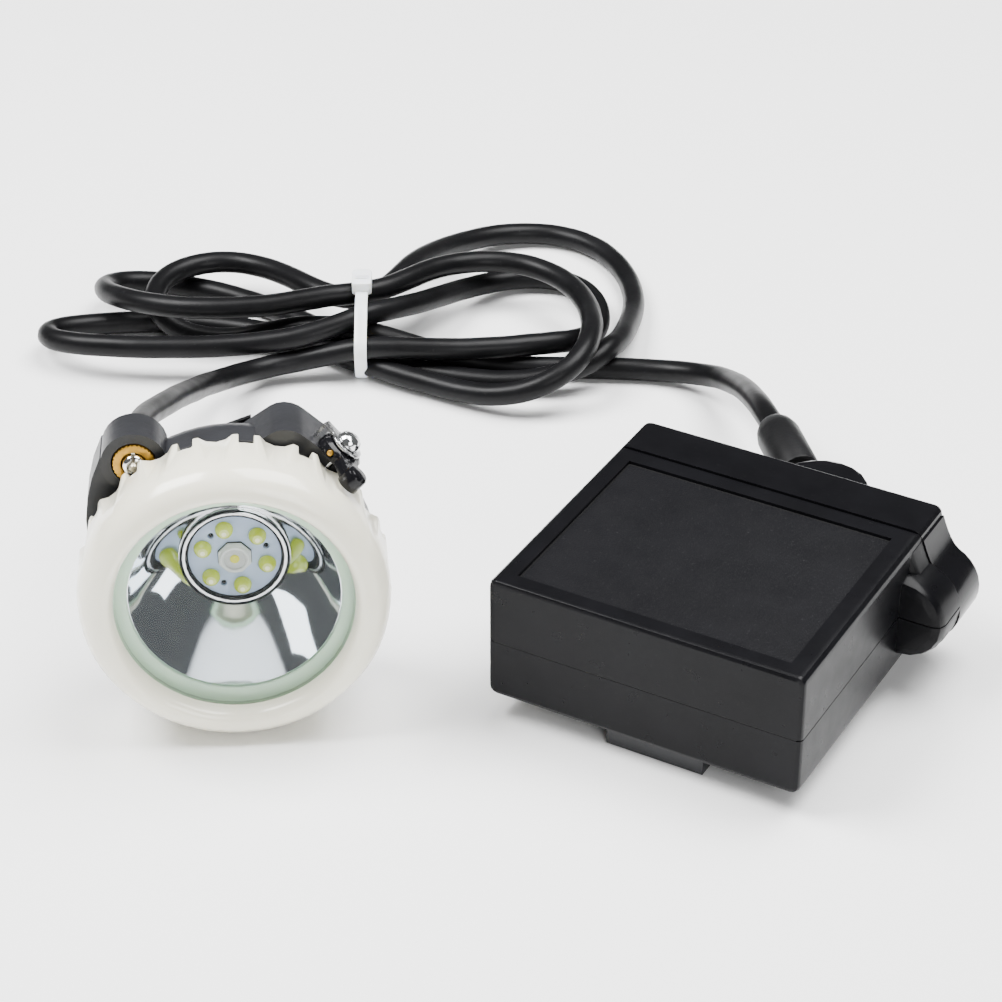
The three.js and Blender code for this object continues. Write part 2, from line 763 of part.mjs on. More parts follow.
// ==== cordset ==============================================================================
{
  const g = cordset;
  const [ax, ay] = TIE_ALONG;
  // along the bundle, across it to the back, up
  const bundle = (mm) =>
    mm.transform(
      new THREE.Matrix4()
        .makeBasis(
          new THREE.Vector3(ax, ay, 0),
          new THREE.Vector3(-ay, ax, 0),
          new THREE.Vector3(0, 0, 1),
        )
        .setPosition(TIE_AT[0], TIE_AT[1], 0).elements,
    );
  const leftLoops = [
    [-195.7, 81.6], [-199.6, 92.6], [-197.0, 103.0], [-198.6, 115.6], [-199.0, 124.3],
    [-189.6, 132.6], [-185.3, 142.2], [-177.2, 149.7], [-166.6, 152.8], [-151.7, 151.9],
    [-136.7, 149.4], [-123.8, 134.9], [-116.6, 121.0], [-127.8, 116.4], [-140.0, 103.7],
    [-151.9, 93.2], [-173.3, 81.8], [-183.9, 77.2], [-190.8, 77.9],
  ];
  const rightLoops = [
    [-122.6, 144.0], [-128.6, 159.8], [-123.3, 186.4], [-112.1, 203.8], [-101.9, 213.9],
    [-87.1, 215.5], [-71.1, 207.8], [-58.7, 195.5], [-51.1, 182.6], [-46.8, 168.0],
    [-45.8, 155.5], [-46.4, 142.8], [-51.1, 130.5], [-58.3, 120.4], [-66.9, 113.1],
    [-77.8, 111.3], [-90.5, 110.9], [-99.2, 112.3], [-104.5, 119.0],
  ];
  const loops = union(
    softPrism(leftLoops.slice().reverse(), 0.2, HANK_H, 2.2, 1),
    softPrism(rightLoops.slice().reverse(), 0.2, HANK_H, 2.2, 1),
  );
  // outline round the strands where the tie holds them, r from their centres
  const girth = (r) => {
    const pts = [];
    for (const [v, z] of STRANDS)
      for (let i = 0; i < 12; i++) pts.push([v + r * Math.cos(rad(30 * i)), z + r * Math.sin(rad(30 * i))]);
    pts.sort((p, q) => p[0] - q[0] || p[1] - q[1]);
    const turn = (o, p, q) => (p[0] - o[0]) * (q[1] - o[1]) - (p[1] - o[1]) * (q[0] - o[0]);
    const chain = (list) => {
      const out = [];
      for (const p of list) {
        while (out.length > 1 && turn(out[out.length - 2], out[out.length - 1], p) <= 1e-6) out.pop();
        out.push(p);
      }
      return out.slice(0, -1);
    };
    return [...chain(pts), ...chain(pts.slice().reverse())];
  };
  // a girth outline swept along the bundle, from u0 to u1
  const sleeve = (r, u0, u1) => prism(girth(r), u0, u1).rotate(90, 0, 90);
  const waist = bundle(sleeve(CORD_D / 2, -9, 9));
  const channel = bundle(box(-2.6, -40, -5, 2.6, 60, 60).subtract(sleeve(CORD_D / 2, -9, 9)));
  piece(g, "cord_hank", loops.subtract(channel).add(waist), 0x1a1a1b, 0.5);
  piece(
    g,
    "cord_tie",
    bundle(
      sleeve(CORD_D / 2 + 1.4, -1.7, 1.7)
        .subtract(sleeve(CORD_D / 2 + 0.3, -5, 5))
        .add(box(-2.4, 9.2, 22.6, 2.4, 15.6, 27.2))
        .add(box(-1.3, 15.2, 24.2, 1.3, 20.4, 25.4)),
    ),
    0xe9ecee, 0.4,
  );
  // the tails, each starting just outside its entry and running up to the hank
  const n = new THREE.Vector3(...HEAD_AXIS).normalize();
  const hx = new THREE.Vector3(0, 0, 1).cross(n).normalize();
  const hy = new THREE.Vector3().crossVectors(n, hx);
  const gland = (d) =>
    new THREE.Vector3(...HEAD_AT)
      .addScaledVector(hx, GLAND_AT[0])
      .addScaledVector(hy, GLAND_AT[1])
      .addScaledVector(n, -d)
      .toArray();
  piece(
    g,
    "cord_head_tail",
    rod([gland(42.4), gland(48), ...HEAD_TAIL], CORD_D / 2, 16, 10),
    0x1a1a1b, 0.5,
  );
  const boot = (d) => [
    BOOT_AT[0] + BOOT_DIR[0] * d,
    BOOT_AT[1] + BOOT_DIR[1] * d,
    BOOT_AT[2] + CASE_Z,
  ];
  piece(
    g,
    "cord_battery_tail",
    rod([boot(BOOT_LEN - 1.2), boot(BOOT_LEN + 4), ...BATTERY_TAIL.slice(1)], CORD_D / 2, 12, 10),
    0x1a1a1b, 0.5,
  );
}

lamp.add(headpiece, battery, cordset);
lamp.position.set(-ORIGIN[0], -ORIGIN[1], 0);
lamp.updateMatrixWorld(true);
export default lamp;
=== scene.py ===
"""Looks of a miner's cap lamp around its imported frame: materials, fine surfaces, the cord as it lies, floor, light and camera."""
import math
import bpy
import bmesh
import numpy as np
from mathutils import Matrix, Vector


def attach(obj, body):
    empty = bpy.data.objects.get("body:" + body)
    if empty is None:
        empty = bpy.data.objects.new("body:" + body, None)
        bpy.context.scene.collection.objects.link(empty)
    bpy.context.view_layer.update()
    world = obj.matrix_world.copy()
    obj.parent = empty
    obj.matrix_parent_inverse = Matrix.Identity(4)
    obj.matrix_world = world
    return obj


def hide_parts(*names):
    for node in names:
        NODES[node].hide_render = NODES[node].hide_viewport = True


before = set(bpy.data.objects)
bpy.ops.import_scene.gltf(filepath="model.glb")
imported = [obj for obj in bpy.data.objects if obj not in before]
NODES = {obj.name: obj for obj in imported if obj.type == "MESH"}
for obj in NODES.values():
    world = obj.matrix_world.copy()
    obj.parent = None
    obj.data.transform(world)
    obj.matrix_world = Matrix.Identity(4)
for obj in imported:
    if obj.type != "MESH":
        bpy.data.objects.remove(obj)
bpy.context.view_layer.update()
MM = 0.001

# ---- frames of the two housings, as in the part's source, in mm ---------------------------
ORIGIN = np.array([-0.385, 28.53, 0.0])
CASE_Z = 6.4
CASE_W, TOP_Z = 82.0, 33.4
_n = np.array([0.5529, -0.8314, 0.0549]); _n /= np.linalg.norm(_n)
_a = np.cross([0, 0, 1], _n); _a /= np.linalg.norm(_a)
_b = np.cross(_n, _a)
HEAD_O = np.array([-47.91, -35.58, 37.76]) - ORIGIN
HEAD = Matrix([[*(float(v) for v in row), float(o)] for row, o in zip(np.stack([_a, _b, _n], 1), HEAD_O)] + [[0, 0, 0, 1]])
BATT = Matrix.Translation((-ORIGIN[0], -ORIGIN[1], CASE_Z))
SW_M = np.array([math.sin(math.radians(43)), math.cos(math.radians(43)), 0.0])
SW_T = np.array([SW_M[1], -SW_M[0], 0.0])
_so = SW_T * -1.0 + np.array([0, 0, -18.5])
# switch frame: z outward, x forward along the lamp axis, y completes it
_sx, _sz = np.array([0, 0, 1.0]), SW_M
_sy = np.cross(_sz, _sx)
SWITCH = HEAD @ Matrix([[*(float(v) for v in row), float(o)] for row, o in zip(np.stack([_sx, _sy, _sz], 1), _so)] + [[0, 0, 0, 1]])
LOCK_AT = (-22.2, 28.4)

# ---- camera -------------------------------------------------------------------------------
cam = bpy.data.objects.new("camera", bpy.data.cameras.new("camera"))
bpy.context.scene.collection.objects.link(cam)
_f = Vector((-0.40827, 0.72847, -0.55013)).normalized()
_r = Vector((0.87234, 0.48890, 0.0)).normalized()
_u = _r.cross(_f)
cam.matrix_world = Matrix(((_r.x, _u.x, -_f.x, 0.28686), (_r.y, _u.y, -_f.y, -0.53333), (_r.z, _u.z, -_f.z, 0.44407), (0, 0, 0, 1)))
cam.data.sensor_width = 36.0
cam.data.lens = 107.78
cam.data.clip_start, cam.data.clip_end = 0.01, 20
bpy.context.scene.camera = cam


# ---- materials ----------------------------------------------------------------------------
def material(name, color, rough=0.5, metal=0.0, var=0.15, grain=None, bump=0.1, spots=None, coat=0.0,
             coat_rough=0.1, sss=0.0, sheen=0.0, transmission=0.0, ior=1.5, alpha=None, rough_var=0.08,
             mottle=60.0, spec=0.5, brushed=None, dust=0.0, painted_emission=None):
    """A procedural material: colour drifts between two shades, roughness wanders, and one or two layers of bump.
    grain and spots are noise scales in 1/m."""
    m = bpy.data.materials.new(name)
    m.use_nodes = True
    nt = m.node_tree
    p = nt.nodes["Principled BSDF"]
    L = nt.links.new
    co = nt.nodes.new("ShaderNodeTexCoord").outputs["Object"]
    p.inputs["Metallic"].default_value = metal
    p.inputs["IOR"].default_value = ior
    p.inputs["Specular IOR Level"].default_value = spec
    if coat:
        p.inputs["Coat Weight"].default_value = coat
        p.inputs["Coat Roughness"].default_value = coat_rough
    if sss:
        p.inputs["Subsurface Weight"].default_value = sss
        p.inputs["Subsurface Radius"].default_value = (0.6, 0.55, 0.4)
        p.inputs["Subsurface Scale"].default_value = 0.004
    if sheen:
        p.inputs["Sheen Weight"].default_value = sheen
        p.inputs["Sheen Roughness"].default_value = 0.4
    if transmission:
        p.inputs["Transmission Weight"].default_value = transmission
    if alpha is not None:
        p.inputs["Alpha"].default_value = alpha
    # emission here is a painted glow: it brightens parts that give no light
    if painted_emission:
        p.inputs["Emission Color"].default_value = (*painted_emission[:3], 1)
        p.inputs["Emission Strength"].default_value = painted_emission[3]
    n1 = nt.nodes.new("ShaderNodeTexNoise")
    n1.inputs["Scale"].default_value = mottle
    n1.inputs["Detail"].default_value = 4
    L(co, n1.inputs["Vector"])
    ramp = nt.nodes.new("ShaderNodeValToRGB")
    ramp.color_ramp.elements[0].position, ramp.color_ramp.elements[1].position = 0.3, 0.7
    ramp.color_ramp.elements[0].color = (*[c * (1 - var) for c in color], 1)
    ramp.color_ramp.elements[1].color = (*[min(1, c * (1 + var)) for c in color], 1)
    L(n1.outputs["Fac"], ramp.inputs["Fac"])
    out = ramp.outputs["Color"]
    if dust:
        n4 = nt.nodes.new("ShaderNodeTexNoise")
        n4.inputs["Scale"].default_value = 900
        n4.inputs["Detail"].default_value = 6
        L(co, n4.inputs["Vector"])
        r4 = nt.nodes.new("ShaderNodeValToRGB")
        r4.color_ramp.elements[0].position, r4.color_ramp.elements[1].position = 0.66, 0.74
        r4.color_ramp.elements[0].color = (0, 0, 0, 1)
        r4.color_ramp.elements[1].color = (dust, dust, dust, 1)
        L(n4.outputs["Fac"], r4.inputs["Fac"])
        mix = nt.nodes.new("ShaderNodeMix")
        mix.data_type = "RGBA"
        mix.blend_type = "ADD"
        mix.inputs["Factor"].default_value = 1.0
        L(out, mix.inputs["A"])
        L(r4.outputs["Color"], mix.inputs["B"])
        out = mix.outputs["Result"]
    L(out, p.inputs["Base Color"])
    rr = nt.nodes.new("ShaderNodeMapRange")
    rr.inputs["To Min"].default_value = max(0.01, rough - rough_var)
    rr.inputs["To Max"].default_value = rough + rough_var
    n2 = nt.nodes.new("ShaderNodeTexNoise")
    n2.inputs["Scale"].default_value = mottle * 2.7
    n2.inputs["Detail"].default_value = 3
    if brushed:
        mp = nt.nodes.new("ShaderNodeMapping")
        mp.inputs["Scale"].default_value = brushed
        L(co, mp.inputs["Vector"])
        L(mp.outputs["Vector"], n2.inputs["Vector"])
    else:
        L(co, n2.inputs["Vector"])
    L(n2.outputs["Fac"], rr.inputs["Value"])
    L(rr.outputs["Result"], p.inputs["Roughness"])
    last = None
    for scale, strength, dist in [(grain, bump, 0.00012), (spots, bump * 0.8, 0.0004)]:
        if not scale:
            continue
        nn = nt.nodes.new("ShaderNodeTexNoise")
        nn.inputs["Scale"].default_value = scale
        nn.inputs["Detail"].default_value = 2
        L(co, nn.inputs["Vector"])
        bp = nt.nodes.new("ShaderNodeBump")
        bp.inputs["Strength"].default_value = strength
        bp.inputs["Distance"].default_value = dist
        L(nn.outputs["Fac"], bp.inputs["Height"])
        if last:
            L(last, bp.inputs["Normal"])
        last = bp.outputs["Normal"]
    if last:
        L(last, p.inputs["Normal"])
    return m


M = {
    "cream": material("cream_plastic", (0.82, 0.79, 0.65), 0.22, var=0.03, grain=2200, bump=0.06, spots=180, sss=0.10, coat=0.45, coat_rough=0.10, mottle=45),
    "lens": material("lens_clear", (0.02, 0.025, 0.025), 0.015, var=0.01, rough_var=0.005, alpha=0.10, mottle=30, spec=0.6),
    # gasket: pale green, with a painted glow that lights the ring shaded behind the lens
    "gasket": material("gasket_silicone", (0.58, 0.82, 0.60), 0.42, var=0.05, grain=1500, bump=0.08, sss=0.3, painted_emission=(0.6, 0.78, 0.60, 0.20)),
    "mirror": material("reflector_metal", (0.80, 0.84, 0.87), 0.05, metal=1.0, var=0.02, rough_var=0.02, spots=220, bump=0.02, mottle=90),
    "chrome": material("bright_plate", (0.80, 0.81, 0.82), 0.09, metal=1.0, var=0.05, rough_var=0.05, spots=700, bump=0.05, mottle=300),
    "steel": material("steel", (0.58, 0.58, 0.585), 0.26, metal=1.0, var=0.12, rough_var=0.10, grain=1800, bump=0.10, mottle=400),
    "steel_dark": material("blackened_steel", (0.045, 0.045, 0.048), 0.30, metal=0.9, var=0.15, rough_var=0.08, grain=1800, bump=0.10, mottle=400),
    "nickel": material("pin_nickel", (0.52, 0.48, 0.38), 0.36, metal=0.8, var=0.1, rough_var=0.08, grain=1500, bump=0.08, mottle=500),
    "brass": material("brass", (0.50, 0.27, 0.035), 0.34, metal=0.75, var=0.18, rough_var=0.10, grain=1600, bump=0.14, mottle=500),
    "copper": material("copper", (0.65, 0.36, 0.2), 0.32, metal=1.0, var=0.12, grain=1500, bump=0.1, mottle=400),
    "alu": material("aluminium", (0.62, 0.64, 0.65), 0.38, metal=1.0, var=0.08, grain=1600, bump=0.1, mottle=300),
    # board: pale blue, with a painted glow that brightens it inside the reflector
    "pcb_white": material("board_white", (0.45, 0.56, 0.74), 0.42, var=0.05, grain=2600, bump=0.06, mottle=260, painted_emission=(0.42, 0.55, 0.78, 0.12)),
    "pcb_green": material("board_green", (0.03, 0.17, 0.07), 0.4, var=0.15, grain=1800, bump=0.1, mottle=260),
    # holder: pale grey, with a painted glow that brightens it under the shaded dome
    "led_body": material("led_holder", (0.72, 0.76, 0.74), 0.30, var=0.04, grain=2000, bump=0.08, mottle=500, sss=0.1, painted_emission=(0.8, 0.85, 0.82, 0.10)),
    "led_clear": material("led_clear_dome", (0.25, 0.25, 0.22), 0.03, var=0.02, rough_var=0.01, alpha=0.09, mottle=300, spec=0.8),
    # phosphor domes and die: a painted glow, though the LEDs give no light here
    "phosphor": material("phosphor_dome", (0.50, 0.62, 0.03), 0.16, var=0.10, coat=0.6, coat_rough=0.03, mottle=500, painted_emission=(0.60, 0.74, 0.04, 0.22)),
    "phosphor_main": material("phosphor_main", (0.70, 0.70, 0.02), 0.25, var=0.08, mottle=500, painted_emission=(0.85, 0.85, 0.02, 0.45)),
    "black": material("housing_black", (0.016, 0.0165, 0.019), 0.40, var=0.18, grain=2400, bump=0.12, spots=500, dust=0.005, mottle=120, spec=0.36),
    "case": material("case_black", (0.0036, 0.0036, 0.0044), 0.30, var=0.2, grain=2600, bump=0.14, coat=0.02, coat_rough=0.12, mottle=80, dust=0.003, spec=0.09),
    "case_cap": material("cap_black", (0.0036, 0.0036, 0.0044), 0.20, var=0.2, grain=2400, bump=0.06, coat=0.06, coat_rough=0.06, mottle=80, dust=0.003, spec=0.12),
    "panel": material("panel_black", (0.0050, 0.0050, 0.0060), 0.40, var=0.12, grain=2200, bump=0.9, mottle=60, dust=0.012, spec=0.12),
    # near black: real dark joints and screws, and painted shade in recesses and under the main LED holder
    "gap": material("gap_and_shade_black", (0.003, 0.003, 0.0033), 0.6, var=0.1, mottle=80, spec=0.2),
    "lever": material("lever_black", (0.0045, 0.0045, 0.0055), 0.16, var=0.2, grain=1500, bump=0.06, coat=0.12, coat_rough=0.06, mottle=200, spec=0.16),
    "rubber": material("cord_rubber", (0.0045, 0.0045, 0.005), 0.36, var=0.3, grain=1500, bump=0.15, spots=240, mottle=70, dust=0.008, spec=0.12),
    "boot": material("boot_rubber", (0.0055, 0.0055, 0.006), 0.42, var=0.22, grain=1700, bump=0.22, spots=300, mottle=90, spec=0.16),
    # painted highlight: paler, glowing materials for caps that stand for the bright reflection in the middle of each
    # small dome
    "pale": material("phosphor_painted_highlight", (0.90, 0.92, 0.60), 0.2, var=0.04, mottle=500, painted_emission=(0.95, 0.95, 0.70, 0.35)),
    "glow": material("phosphor_painted_centre_glow", (0.68, 0.76, 0.22), 0.2, var=0.06, mottle=500, painted_emission=(0.75, 0.82, 0.25, 0.22)),
    "nylon": material("tie_nylon", (0.84, 0.87, 0.88), 0.30, var=0.04, grain=1200, bump=0.08, sss=0.5, coat=0.2, mottle=200),
    "sleeve": material("cell_sleeve", (0.03, 0.16, 0.42), 0.3, var=0.1, grain=900, bump=0.05, coat=0.3, mottle=100),
    "foam": material("foam", (0.035, 0.036, 0.04), 0.9, var=0.3, grain=2500, bump=0.6, mottle=900),
}


# ---- helpers ------------------------------------------------------------------------------
def finish_mods(o, bevel=0.0, segs=2, angle=28.0, split=32.0, weld=True, limit=None, flats=False):
    if weld:
        w = o.modifiers.new("weld", "WELD")
        w.merge_threshold = 2e-6
    if bevel:
        b = o.modifiers.new("edge", "BEVEL")
        b.width = bevel * MM
        b.segments = segs
        b.limit_method = "ANGLE"
        b.angle_limit = math.radians(limit or angle)
        b.use_clamp_overlap = True
        b.miter_outer = "MITER_ARC"
    s = o.modifiers.new("split", "EDGE_SPLIT")
    s.split_angle = math.radians(split)
    s.use_edge_sharp = False
    if flats:
        wn = o.modifiers.new("flats", "WEIGHTED_NORMAL")
        wn.mode = "FACE_AREA"
        wn.weight = 60
    for f in o.data.polygons:
        f.use_smooth = True


def dress(node, mat, bevel=0.0, **kw):
    """A CAD node kept as it is, with a finish, softened edges and smooth shading."""
    o = NODES[node]
    o.data.materials.clear()
    o.data.materials.append(M[mat])
    finish_mods(o, bevel, **kw)
    return o


def make(name, verts, faces, mat, body="lamp", matrix=HEAD, node=None, split=35.0, bevel=0.0, segs=2, limit=30.0, smooth=True):
    """A new piece from points in mm in a local frame; faces may be any polygons."""
    me = bpy.data.meshes.new(name)
    v = [tuple((matrix @ Vector(p)) * MM) for p in verts]
    me.from_pydata(v, [], faces)
    bm = bmesh.new()
    bm.from_mesh(me)
    bmesh.ops.remove_doubles(bm, verts=bm.verts, dist=1e-7)
    bmesh.ops.recalc_face_normals(bm, faces=bm.faces)
    bm.to_mesh(me)
    bm.free()
    o = bpy.data.objects.new(name, me)
    bpy.context.scene.collection.objects.link(o)
    me.materials.append(M[mat])
    if smooth:
        finish_mods(o, bevel, segs=segs, split=split, weld=False, limit=limit)
    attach(o, body)
    if node:
        for nn in ([node] if isinstance(node, str) else node):
            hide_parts(nn)
    return o


def lathe(profile, seg=96, shape=None):
    """Closed ring or solid from (r, z) points turned about z; shape(r, z, angle) may move a point."""
    verts, faces = [], []
    n = len(profile)
    solid = profile[0][0] == 0 and profile[-1][0] == 0
    for i in range(seg):
        a = 2 * math.pi * i / seg
        for r, z in profile:
            rr, zz = shape(r, z, a) if shape else (r, z)
            verts.append((rr * math.cos(a), rr * math.sin(a), zz))
    for i in range(seg):
        j = (i + 1) % seg
        for k in range(n if not solid else n - 1):
            k2 = (k + 1) % n
            faces.append((i * n + k, i * n + k2, j * n + k2, j * n + k))
    return verts, faces


def merge(*parts):
    verts, faces = [], []
    for v, f in parts:
        o = len(verts)
        verts += list(v)
        faces += [tuple(i + o for i in q) for q in f]
    return verts, faces


def moved(part, at=(0, 0, 0), rot=None):
    m = Matrix.Translation(at) @ (rot.to_4x4() if rot is not None else Matrix.Identity(4))
    return [tuple(m @ Vector(v)) for v in part[0]], part[1]


def boxy(x0, y0, z0, x1, y1, z1):
    v = [(x, y, z) for x in (x0, x1) for y in (y0, y1) for z in (z0, z1)]
    return v, [(0, 1, 3, 2), (4, 6, 7, 5), (0, 4, 5, 1), (2, 3, 7, 6), (0, 2, 6, 4), (1, 5, 7, 3)]


def prism(outline, z0, z1):
    n = len(outline)
    v = [(x, y, z0) for x, y in outline] + [(x, y, z1) for x, y in outline]
    f = [tuple(range(n))[::-1], tuple(range(n, 2 * n))] + [(i, (i + 1) % n, n + (i + 1) % n, n + i) for i in range(n)]
    return v, f


def tube(points, radius, sides=24):
    """A swept tube with closed ends along points in mm, radius a number or one for each point."""
    P = np.array(points, float)
    n = len(P)
    R = np.full(n, radius) if np.isscalar(radius) else np.array(radius, float)
    T = np.gradient(P, axis=0)
    T /= np.linalg.norm(T, axis=1)[:, None]
    N = np.zeros_like(P)
    s = np.cross(T[0], [0, 0, 1.0])
    N[0] = s / np.linalg.norm(s)
    for i in range(1, n):
        v = N[i - 1] - T[i] * (N[i - 1] @ T[i])
        N[i] = v / np.linalg.norm(v)
    B = np.cross(T, N)
    ang = np.linspace(0, 2 * np.pi, sides, endpoint=False)
    ring = np.cos(ang)[None, :, None] * N[:, None, :] + np.sin(ang)[None, :, None] * B[:, None, :]
    V = (P[:, None, :] + ring * R[:, None, None]).reshape(-1, 3)
    F = []
    for i in range(n - 1):
        for k in range(sides):
            k2 = (k + 1) % sides
            F.append((i * sides + k, i * sides + k2, (i + 1) * sides + k2, (i + 1) * sides + k))
    F.append(tuple(range(sides))[::-1])
    F.append(tuple(range((n - 1) * sides, n * sides)))
    return [tuple(map(float, v)) for v in V], F


def catmull(P, step):
    """Even points, step mm apart, on a smooth curve through P."""
    P = np.array(P, float)
    Q = np.vstack([2 * P[0] - P[1], P, 2 * P[-1] - P[-2]])
    out = []
    for i in range(1, len(Q) - 2):
        p0, p1, p2, p3 = Q[i - 1], Q[i], Q[i + 1], Q[i + 2]
        for t in np.linspace(0, 1, 8, endpoint=False):
            out.append(0.5 * (2 * p1 + (p2 - p0) * t + (2 * p0 - 5 * p1 + 4 * p2 - p3) * t * t + (3 * p1 - p0 - 3 * p2 + p3) * t ** 3))
    out.append(P[-1])
    out = np.array(out)
    s = np.r_[0, np.cumsum(np.linalg.norm(np.diff(out, axis=0), axis=1))]
    q = np.linspace(0, s[-1], int(round(s[-1] / step)) + 1)
    return np.stack([np.interp(q, s, out[:, k]) for k in range(3)], 1)


I4 = Matrix.Identity(4)

